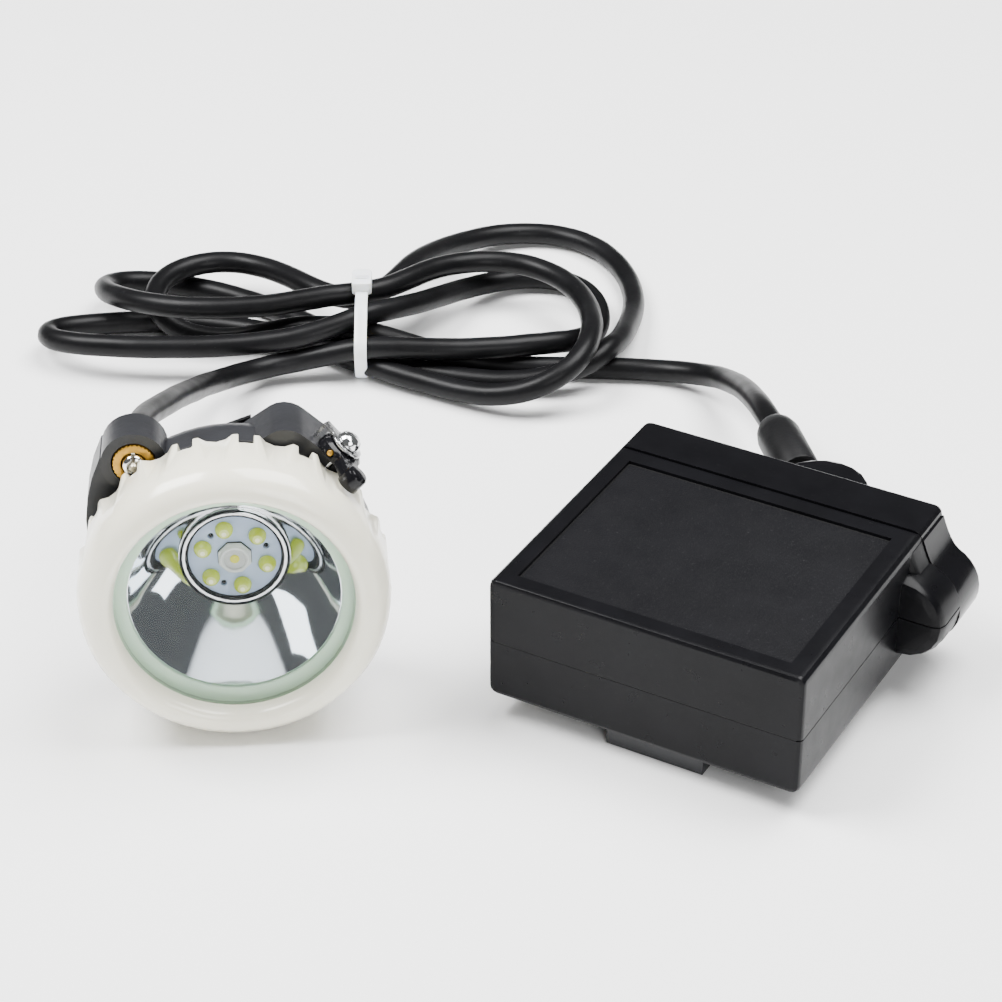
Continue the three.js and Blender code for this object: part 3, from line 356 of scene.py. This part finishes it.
# ---- the cord: from the battery's boot through the tied loops to the headpiece's gland ------
CORD_D = 6.4
ROUTE = [
    (23.9,82.1,28.4),(20.8,85.5,28.4),(17.9,88.8,28.0),(15.2,92.3,27.1),(12.6,95.8,25.8),(10.1,99.2,24.4),(7.7,102.7,22.8),(5.2,106.1,21.2),
    (2.8,109.5,19.5),(0.3,112.8,17.8),(-2.2,116.1,16.0),(-4.8,119.3,14.1),(-7.5,122.4,12.3),(-10.5,125.3,10.6),(-13.7,128.0,8.9),(-17.4,130.0,7.3),
    (-21.4,131.4,5.9),(-25.8,131.9,4.9),(-30.2,131.7,4.1),(-34.6,130.8,3.6),(-38.9,129.5,3.3),(-43.0,127.8,3.2),(-47.1,125.9,3.2),(-51.1,123.9,3.2),
    (-55.1,121.7,3.2),(-59.0,119.5,3.2),(-63.0,117.4,3.2),(-67.0,115.3,3.3),(-71.0,113.2,3.5),(-75.0,111.2,3.8),(-79.1,109.3,4.2),(-83.1,107.5,4.9),
    (-87.2,105.8,5.7),(-91.3,104.2,6.7),(-95.5,102.8,7.8),(-99.7,101.6,8.7),(-104.0,100.6,9.5),(-108.4,99.9,10.0),(-112.9,99.2,10.3),(-117.3,98.3,10.5),
    (-121.6,97.1,10.3),(-125.9,95.7,9.9),(-130.1,94.1,9.5),(-134.1,92.4,8.6),(-138.2,90.8,7.3),(-142.2,89.3,6.0),(-146.2,87.5,4.9),(-150.2,85.7,4.2),
    (-154.4,84.0,3.9),(-158.6,82.5,4.1),(-162.9,81.4,4.8),(-167.2,81.2,6.0),(-171.3,81.9,7.8),(-174.7,84.2,9.3),(-177.5,87.6,9.8),(-179.2,91.8,10.4),
    (-179.8,96.2,10.7),(-179.4,100.7,10.8),(-178.0,104.9,10.8),(-175.6,108.7,10.8),(-172.4,111.8,10.8),(-168.5,114.1,10.8),(-164.2,115.5,10.8),
    (-159.8,115.9,10.9),(-155.3,115.5,11.2),(-150.9,114.6,11.5),(-146.6,113.3,11.9),(-142.4,111.8,12.3),(-138.1,110.5,12.5),(-133.7,109.6,12.6),
    (-129.2,109.6,12.4),(-124.8,110.8,12.2),(-121.2,113.4,12.2),(-118.9,117.2,12.6),(-117.9,121.5,13.0),(-117.7,126.0,13.3),(-118.0,130.5,13.3),
    (-118.6,134.9,12.9),(-119.1,139.4,12.2),(-119.5,143.8,11.3),(-119.7,148.2,10.3),(-119.8,152.5,9.3),(-119.6,156.9,8.3),(-119.2,161.3,7.3),
    (-118.4,165.6,6.4),(-117.2,169.9,5.6),(-115.5,174.0,5.0),(-113.2,177.9,4.5),(-110.3,181.3,4.1),(-106.9,184.2,3.8),(-103.0,186.5,3.6),
    (-98.8,188.1,3.5),(-94.4,188.8,3.4),(-89.9,188.8,3.4),(-85.5,187.9,3.3),(-81.2,186.4,3.3),(-77.3,184.2,3.2),(-73.6,181.7,3.2),(-70.2,178.7,3.2),
    (-67.0,175.5,3.2),(-64.1,172.1,3.2),(-61.5,168.4,3.4),(-59.1,164.6,3.6),(-57.0,160.6,3.9),(-55.2,156.5,4.3),(-53.6,152.4,4.9),(-52.1,148.2,5.7),
    (-50.7,144.0,6.5),(-49.4,139.8,7.4),(-48.3,135.4,8.2),(-47.7,131.1,8.8),(-47.6,126.6,9.6),(-48.3,122.2,8.9),(-50.0,118.2,8.1),(-52.6,114.7,7.2),
    (-55.8,111.6,6.2),(-59.3,109.1,5.2),(-63.2,106.8,4.4),(-67.2,105.0,3.9),(-71.4,103.3,3.5),(-75.7,102.0,3.3),(-80.0,100.8,3.2),(-84.5,99.8,3.2),
    (-88.9,99.0,3.2),(-93.3,98.4,3.2),(-97.8,98.2,3.2),(-102.3,98.3,3.4),(-106.8,98.6,3.6),(-111.3,99.0,3.8),(-115.8,99.7,4.0),(-120.2,100.5,4.1),
    (-124.6,101.6,4.1),(-128.9,102.7,4.0),(-133.3,103.8,3.9),(-137.6,104.9,3.7),(-142.0,105.9,3.6),(-146.4,106.8,3.4),(-150.9,107.5,3.3),
    (-155.4,108.0,3.3),(-159.9,108.2,3.2),(-164.4,108.3,3.2),(-168.9,108.1,3.2),(-173.4,107.6,3.2),(-177.8,106.9,3.2),(-182.2,105.8,3.4),
    (-186.3,104.1,3.8),(-190.1,101.7,4.3),(-193.2,98.5,5.1),(-195.2,94.7,6.1),(-195.8,90.4,7.3),(-194.6,86.3,8.6),(-191.9,83.0,10.0),(-188.6,80.3,11.3),
    (-184.7,78.3,12.5),(-180.6,76.7,13.6),(-176.3,75.7,14.4),(-171.9,75.3,15.1),(-167.4,75.5,15.6),(-163.0,76.2,15.9),(-158.7,77.5,16.1),
    (-154.5,79.2,16.3),(-150.5,81.2,16.4),(-146.6,83.4,16.5),(-142.7,85.8,16.7),(-139.0,88.2,16.9),(-135.3,90.8,17.3),(-131.8,93.5,17.8),
    (-128.2,96.3,18.2),(-124.8,99.2,18.6),(-121.4,102.1,18.6),(-118.2,105.3,18.5),(-115.5,108.9,18.2),(-113.4,112.9,17.9),(-112.0,117.1,17.6),
    (-110.9,121.5,17.3),(-110.0,125.9,16.9),(-109.0,130.2,16.4),(-107.5,134.5,15.9),(-105.6,138.5,15.3),(-102.9,142.1,14.9),(-99.8,145.3,14.5),
    (-96.0,147.8,14.2),(-91.9,149.6,14.0),(-87.5,150.6,13.9),(-83.1,150.7,13.7),(-78.6,150.0,13.6),(-74.4,148.5,13.6),(-70.4,146.3,13.6),
    (-66.8,143.7,13.8),(-63.5,140.6,14.1),(-60.5,137.3,14.5),(-57.8,133.8,14.9),(-55.3,130.0,15.4),(-53.0,126.2,15.8),(-51.1,122.1,16.0),
    (-49.6,117.9,15.9),(-48.6,113.5,15.4),(-48.6,109.1,14.3),(-49.6,105.0,12.9),(-51.7,101.4,11.3),(-54.6,98.4,9.7),(-58.2,96.2,8.1),(-62.2,94.7,6.8),
    (-66.5,93.7,5.7),(-70.9,93.1,4.9),(-75.4,92.8,4.4),(-79.9,92.6,4.1),(-84.4,92.5,4.0),(-88.9,92.3,4.1),(-93.4,92.0,4.2),(-97.8,91.8,4.4),
    (-102.4,91.9,4.5),(-106.8,92.1,4.3),(-111.3,92.6,4.3),(-115.8,93.1,4.1),(-120.2,93.8,3.8),(-124.7,94.5,3.5),(-129.1,95.2,3.3),(-133.6,95.7,3.2),
    (-138.1,95.7,3.2),(-142.6,95.2,3.2),(-147.0,94.4,3.2),(-151.4,93.5,3.2),(-155.8,92.3,3.2),(-160.1,91.0,3.2),(-164.3,89.5,3.2),(-168.5,87.8,3.2),
    (-172.7,86.1,3.2),(-176.6,83.9,3.2),(-180.4,81.5,3.2),(-184.1,78.9,3.3),(-187.5,76.0,3.5),(-190.6,72.7,3.9),(-193.2,69.1,4.5),(-195.1,65.1,5.3),
    (-195.7,60.8,6.2),(-193.8,57.0,7.2),(-189.9,55.0,8.0),(-185.5,54.6,8.7),(-181.1,55.0,9.2),(-176.7,55.9,9.6),(-172.4,57.2,9.9),(-168.2,58.8,10.0),
    (-164.1,60.6,10.1),(-160.1,62.7,10.1),(-156.1,64.8,10.2),(-152.2,67.0,10.2),(-148.2,69.2,10.3),(-144.3,71.5,10.5),(-140.4,73.7,10.8),
    (-136.5,75.9,11.2),(-132.7,78.2,11.7),(-128.9,80.5,12.3),(-125.2,83.0,13.0),(-121.8,85.8,13.8),(-118.6,88.9,14.7),(-115.8,92.3,15.5),
    (-113.3,96.0,16.2),(-111.2,99.9,16.4),(-109.3,104.0,15.7),(-107.8,108.1,14.9),(-106.7,112.4,13.9),(-105.8,116.7,12.8),(-105.2,121.0,11.7),
    (-104.8,125.3,10.6),(-104.4,129.7,9.4),(-104.0,134.0,8.3),(-103.5,138.3,7.2),(-102.6,142.7,6.2),(-101.4,146.9,5.4),(-99.7,151.0,4.7),
    (-97.3,154.8,4.3),(-94.3,158.2,4.0),(-90.7,160.8,3.9),(-86.6,162.7,3.8),(-82.2,163.4,3.7),(-77.8,163.1,3.5),(-73.5,161.5,3.4),(-69.8,159.0,3.2),
    (-66.7,155.8,3.2),(-64.1,152.1,3.3),(-62.0,148.2,3.6),(-60.3,144.0,4.1),(-59.2,139.7,4.8),(-58.9,135.3,5.7),(-59.5,131.0,6.8),(-60.9,126.8,7.8),
    (-63.1,123.0,8.7),(-65.7,119.4,9.3),(-68.7,116.0,9.8),(-71.8,112.8,10.0),(-75.2,109.8,10.2),(-78.7,107.0,10.4),(-82.3,104.3,10.5),(-86.0,101.8,10.7),
    (-89.9,99.5,10.8),(-93.9,97.4,10.9),(-97.9,95.3,11.0),(-102.0,93.4,10.9),(-106.0,91.5,10.7),(-110.0,89.5,10.1),(-114.0,87.7,8.9),(-117.8,85.7,7.8),
    (-121.6,83.5,6.8),(-125.2,80.9,6.0),(-128.5,77.8,5.7),(-131.1,74.2,5.7),(-132.9,70.1,6.2),(-133.8,65.8,7.2),(-133.8,61.5,8.6),(-133.3,57.4,10.2),
    (-132.2,53.4,12.1),(-131.0,49.5,14.0),(-129.6,45.8,16.0),(-128.1,42.0,18.1),(-126.6,38.3,20.1),(-125.1,34.5,22.1),(-123.5,30.8,24.0),
    (-121.9,27.1,26.0),(-120.3,23.4,28.0),(-118.7,19.7,30.1),(-117.1,16.0,32.1),(-115.4,12.3,34.1),(-113.8,8.7,36.1),(-112.2,4.9,38.0),(-110.5,1.1,39.9),
    (-109.0,-2.7,41.7),(-107.5,-6.6,43.5),(-106.2,-10.5,45.1),(-104.8,-14.5,46.8),(-103.4,-18.4,48.4),(-101.6,-22.2,50.0),(-99.7,-25.9,51.6),
    (-97.3,-29.5,53.2),(-94.9,-33.0,54.5),(-92.3,-36.6,55.6),(-89.8,-40.3,56.0),
]
line = catmull(ROUTE, 2.0)
cord = make("cord", *tube(line, CORD_D / 2, 24), "rubber", matrix=I4, node=["cord_hank", "cord_head_tail", "cord_battery_tail"], split=60)

# ---- the tie: a strap drawn round the strands, a head with its tongue -----------------------
TIE_O = np.array([-109.85, 120.75]) - ORIGIN[:2]
TU, TV = np.array([0.8723, 0.4889]), np.array([-0.4889, 0.8723])
uu = (line[:, :2] - TIE_O) @ TU
vv = (line[:, :2] - TIE_O) @ TV
strands = []
for i in range(len(line) - 1):
    if uu[i] * uu[i + 1] <= 0 and abs(vv[i]) < 60:
        t = uu[i] / (uu[i] - uu[i + 1])
        strands.append((vv[i] + t * (vv[i + 1] - vv[i]), line[i, 2] + t * (line[i + 1, 2] - line[i, 2])))


def hull_loop(r, count=96):
    """Convex outline r from the strands' centres, resampled evenly and rounded."""
    pts = sorted({(round(v + r * math.cos(a), 5), round(w + r * math.sin(a), 5)) for v, w in strands for a in np.linspace(0, 2 * math.pi, 36, endpoint=False)})

    def chain(ps):
        out = []
        for p in ps:
            while len(out) > 1 and (out[-1][0] - out[-2][0]) * (p[1] - out[-2][1]) - (out[-1][1] - out[-2][1]) * (p[0] - out[-2][0]) <= 0:
                out.pop()
            out.append(p)
        return out[:-1]
    H = np.array(chain(pts) + chain(pts[::-1]))
    C = np.vstack([H, H[:1]])
    s = np.r_[0, np.cumsum(np.linalg.norm(np.diff(C, axis=0), axis=1))]
    q = np.linspace(0, s[-1], count, endpoint=False)
    return np.stack([np.interp(q, s, C[:, 0]), np.interp(q, s, C[:, 1])], 1)


TIE_M = Matrix([[TU[0], TV[0], 0, TIE_O[0]], [TU[1], TV[1], 0, TIE_O[1]], [0, 0, 1, 0], [0, 0, 0, 1]])
inner, outer = hull_loop(CORD_D / 2 + 0.05), hull_loop(CORD_D / 2 + 1.15)
low = min(outer[:, 1].min(), 0.0)
outer[:, 1] = np.maximum(outer[:, 1], 0.05)
nring = len(inner)
tv, tf = [], []
W = 1.75
prof = [(-W, 0), (-W, 0.85), (-W + 0.35, 1.0), (W - 0.35, 1.0), (W, 0.85), (W, 0)]
for k in range(nring):
    for u, e in prof:
        v, w = inner[k] + (outer[k] - inner[k]) * e
        tv.append((u, v, w))
for k in range(nring):
    k2 = (k + 1) % nring
    for j in range(6):
        j2 = (j + 1) % 6
        tf.append((k * 6 + j, k * 6 + j2, k2 * 6 + j2, k2 * 6 + j))
top = outer[outer[:, 1].argmax()]
# the head sits square on the strap where it leaves the top strand
h0 = Vector((0, float(top[0]) - 2.4, float(top[1]) - 0.9))
hrot = Matrix.Rotation(math.radians(10), 3, "X")


def rounded_block(sx, sy, sz, r=0.9, n=4):
    out = []
    for cx, cy, a0 in ((1, 1, 0), (-1, 1, 90), (-1, -1, 180), (1, -1, 270)):
        for i in range(n + 1):
            a = math.radians(a0 + 90 * i / n)
            out.append((cx * (sx / 2 - r) + r * math.cos(a), cy * (sy / 2 - r) + r * math.sin(a)))
    return prism(out, -sz / 2, sz / 2)


tie = make("cord_tie_strap", tv, tf, "nylon", matrix=TIE_M, node="cord_tie", split=50, bevel=0.0)
hd = moved(rounded_block(5.6, 6.6, 4.0), tuple(h0 + Vector((0, 0, 1.2))), hrot)
tong = moved(boxy(-1.6, 3.0, -0.6, 1.6, 5.4, 0.5), tuple(h0 + Vector((0, 0, 1.2))), hrot)
slotv = moved(boxy(-1.9, -0.9, 1.85, 1.9, 0.5, 2.25), tuple(h0 + Vector((0, 0, 1.2))), hrot)
tie_head = make("cord_tie_head", *merge(hd, tong, slotv), "nylon", matrix=TIE_M, bevel=0.35, segs=3)

# ---- the light source: holder, clear dome and die in the middle, six small domes round it ----
BD = -21.9
oct8 = [(4.25 * math.cos(math.radians(22.5 + 45 * i)), 4.25 * math.sin(math.radians(22.5 + 45 * i))) for i in range(8)]
make("main_led_holder", *prism(oct8, BD + 0.3, BD + 1.3), "led_body", node="main_led", bevel=0.3, segs=2)
make("main_led_rim", *lathe([(2.75, BD + 1.32), (3.75, BD + 1.32), (3.55, BD + 1.9), (3.2, BD + 2.15), (2.85, BD + 2.0)], 64), "led_body", split=60)
make("main_led_die", *prism([(1.15 * math.cos(math.radians(30 * q)), 1.15 * math.sin(math.radians(30 * q))) for q in range(12)], BD + 1.34, BD + 1.6), "phosphor_main", bevel=0.1)
make("main_led_dome", *lathe([(0, BD + 1.64)] + [(2.65 * math.cos(math.radians(t)), BD + 1.64 + 2.1 * math.sin(math.radians(t))) for t in range(0, 90, 9)] + [(0, BD + 3.74)], 48), "led_clear", split=80)
for k, deg in enumerate([-16, 45, 106, 161, 222, 281]):
    at = (8.0 * math.cos(math.radians(deg)), 8.0 * math.sin(math.radians(deg)), 0)
    make("aux_dome_%d" % (k + 1), *moved(lathe([(0, BD + 0.3)] + [(2.2 * math.cos(math.radians(t)), BD + 0.3 + 2.5 * math.sin(math.radians(t))) for t in range(0, 90, 9)] + [(0, BD + 2.8)], 40), at),
         "phosphor", node="aux_led_%d" % (k + 1), split=80)

    # painted highlight: two paler caps on each dome, a wide glow and a small bright spot at its centre
    for nm, lo_t, off, mt in (("glow", 58, 0.03, "glow"), ("painted_glint", 75, 0.06, "pale")):
        make("aux_%s_%d" % (nm, k + 1), *moved(lathe([(0, BD + 2.5)] + [((2.2 + off) * math.cos(math.radians(t)), BD + 0.3 + (2.5 + off) * math.sin(math.radians(t))) for t in range(lo_t, 90, 5)] + [(0, BD + 2.8 + off)], 32), at), mt, split=80)
# painted shadow: a dark octagon under the holder that stands for the shade in the gap round it
make("main_led_painted_shadow", *prism([(x * 1.035, y * 1.035) for x, y in oct8], BD + 0.12, BD + 0.27), "gap", smooth=False)
# painted shade: a dark sleeve inside the ring that stands for the shaded bore wall
make("led_ring_liner", *lathe([(11.22, -22.6), (11.6, -22.6), (11.85, -20.84), (11.5, -20.95), (11.22, -21.7)], 72), "gap", split=40)

# ---- charging lock: rotor with a domed, slotted rim round the pin --------------------------
def half_rim(side):
    """One half of the domed rim, cut back beside the slot."""
    rings = [(1.25, -17.9), (1.25, -16.9), (1.7, -16.75), (2.25, -17.0), (2.6, -17.45), (2.75, -18.1), (2.75, -24.0), (1.25, -24.0)]
    verts, faces = [], []
    nseg = 24
    for i in range(nseg + 1):
        for r, z in rings:
            g = math.asin(0.42 / r)
            a = math.radians(90) + g + (math.pi - 2 * g) * i / nseg
            verts.append((side * r * math.cos(a), side * r * math.sin(a), z))
    n = len(rings)
    for i in range(nseg):
        for k in range(n):
            k2 = (k + 1) % n
            faces.append((i * n + k, i * n + k2, (i + 1) * n + k2, (i + 1) * n + k))
    faces.append(tuple(range(n)))
    faces.append(tuple(range(nseg * n, (nseg + 1) * n))[::-1])
    return verts, faces


LOCK = (LOCK_AT[0], LOCK_AT[1], 0)
floor_ring = lathe([(1.25, -23.9), (2.7, -23.9), (2.7, -19.2), (1.25, -19.2)], 48)
make("lock_rotor_rim", *moved(merge(half_rim(1), half_rim(-1), floor_ring), LOCK), "chrome", body="charge_rotor", node="lock_rotor", split=45, bevel=0.08)
make("charge_pin_post", *moved(merge(lathe([(0, -25.0), (1.05, -25.0), (1.05, -16.2), (0.8, -15.9), (0, -15.8)], 32), lathe([(0, -26.6), (3.6, -26.6), (3.6, -24.9), (0, -24.9)], 32)), LOCK),
     "nickel", node="charge_pin", split=40)

# ---- battery: grained panel and the line of the joint ---------------------------------------
rr = []
for cx, cy, a0 in ((76.1, 61.9, 0), (5.8, 61.9, 90), (5.8, 4.9, 180), (76.1, 4.9, 270)):
    for i in range(5):
        a = math.radians(a0 + 22.5 * i)
        rr.append((cx + 0.25 * math.cos(a), cy + 0.25 * math.sin(a)))
make("panel_skin", *prism(rr, TOP_Z - 0.9, TOP_Z - 0.86), "panel", matrix=BATT, smooth=False)
# painted shade: dark strips only along the far and left edges of the panel's recess, where its wall lies in shade
make("panel_groove_painted_shade", *merge(boxy(5.6, 61.55, TOP_Z - 0.86, 76.3, 62.12, TOP_Z - 0.80), boxy(5.58, 4.7, TOP_Z - 0.86, 5.98, 61.55, TOP_Z - 0.80)), "gap", matrix=BATT, smooth=False)
make("lobe_filler", *prism([(82.3, 56.6), (90.3, 56.6), (92.0, 57.4), (92.9, 59.0), (92.95, 67.5), (82.3, 67.5)], 15.56, 15.84), "case", matrix=BATT, smooth=False)
make("joint_line", *merge(boxy(0.07, 1.4, 15.56, 0.5, 55.0, 15.84), boxy(1.4, 0.07, 15.56, CASE_W - 1.4, 0.5, 15.84), boxy(CASE_W - 0.5, 1.4, 15.56, CASE_W - 0.07, 50.0, 15.84)), "gap", matrix=BATT, smooth=False)

# ---- carried over CAD nodes -----------------------------------------------------------------
FLAT = ("case_upper", "case_lower", "end_cap", "belt_strap", "housing", "helmet_hook")
for node, mat, bev in [
    ("bezel", "cream", 0.45), ("lens", "lens", 0.0), ("lens_gasket", "gasket", 0.1), ("reflector", "mirror", 0.0), ("led_ring", "chrome", 0.12),
    ("led_board", "pcb_white", 0.1), ("main_led", "phosphor_main", 0.0), ("heat_sink", "alu", 0.2), ("driver_board", "pcb_green", 0.1),
    ("housing", "black", 0.5), ("housing_oring", "boot", 0.0), ("lock_ring", "brass", 0.12), ("lock_rotor", "steel", 0.15), ("charge_pin", "brass", 0.1),
    ("switch_shaft", "steel", 0.15), ("switch_lever", "lever", 0.35), ("lever_set_screw", "brass", 0.1), ("switch_clip", "steel", 0.1),
    ("switch_screw", "chrome", 0.1), ("switch_contact", "copper", 0.1), ("helmet_hook", "steel_dark", 0.2), ("hook_screw_1", "steel", 0.2),
    ("hook_screw_2", "steel", 0.2), ("cable_gland", "boot", 0.2), ("case_upper", "case", 0.35), ("case_lower", "case", 0.35), ("end_cap", "case_cap", 0.35),
    ("cap_gasket", "boot", 0.0), ("cap_screw_1", "steel", 0.2), ("cap_screw_2", "steel", 0.2), ("cell_1", "sleeve", 0.1), ("cell_2", "sleeve", 0.1),
    ("cell_3", "sleeve", 0.1), ("cell_4", "sleeve", 0.1), ("cell_strip_front", "steel", 0.0), ("cell_strip_rear", "steel", 0.0), ("foam_pad", "foam", 0.1),
    ("protection_board", "pcb_green", 0.1), ("cable_boot", "boot", 0.3), ("cable_clamp", "steel", 0.1), ("belt_strap", "black", 0.4),
    ("strap_screw_1", "steel", 0.2), ("strap_screw_2", "steel", 0.2),
] + [("aux_led_%d" % i, "phosphor", 0.0) for i in range(1, 7)] + [("board_screw_%d" % i, "gap", 0.0) for i in range(1, 4)]:
    if not NODES[node].hide_render:
        dress(node, mat, bev, flats=node in FLAT)

# ---- floor and light ------------------------------------------------------------------------
fm = material("floor_paper", (0.97, 0.97, 0.97), 0.75, var=0.006, grain=300, bump=0.02, mottle=3)
bpy.ops.mesh.primitive_plane_add(size=6, location=(0, 0, -0.0002))
floor = bpy.context.object
floor.name = "floor"
floor.data.materials.append(fm)
w = bpy.data.worlds.new("studio")
bpy.context.scene.world = w
w.use_nodes = True
w.node_tree.nodes["Background"].inputs["Color"].default_value = (1, 1, 1, 1)
w.node_tree.nodes["Background"].inputs["Strength"].default_value = 0.16


def lamp(name, loc, target, size, power, color=(1, 1, 1), size_y=None):
    d = bpy.data.lights.new(name, "AREA")
    d.shape = "RECTANGLE"
    d.size, d.size_y = size, size_y or size
    d.energy = power
    d.color = color
    o = bpy.data.objects.new(name, d)
    bpy.context.scene.collection.objects.link(o)
    o.location = loc
    o.rotation_euler = (Vector(target) - Vector(loc)).to_track_quat("-Z", "Y").to_euler()
    return o


lamp("key", (-0.55, -0.25, 0.95), (0, 0, 0.02), 0.55, 29)
lamp("fill", (0.75, -0.60, 0.50), (0, 0, 0.03), 0.5, 6)
lamp("top", (0.25, 0.35, 1.1), (0, 0.02, 0), 0.8, 34)
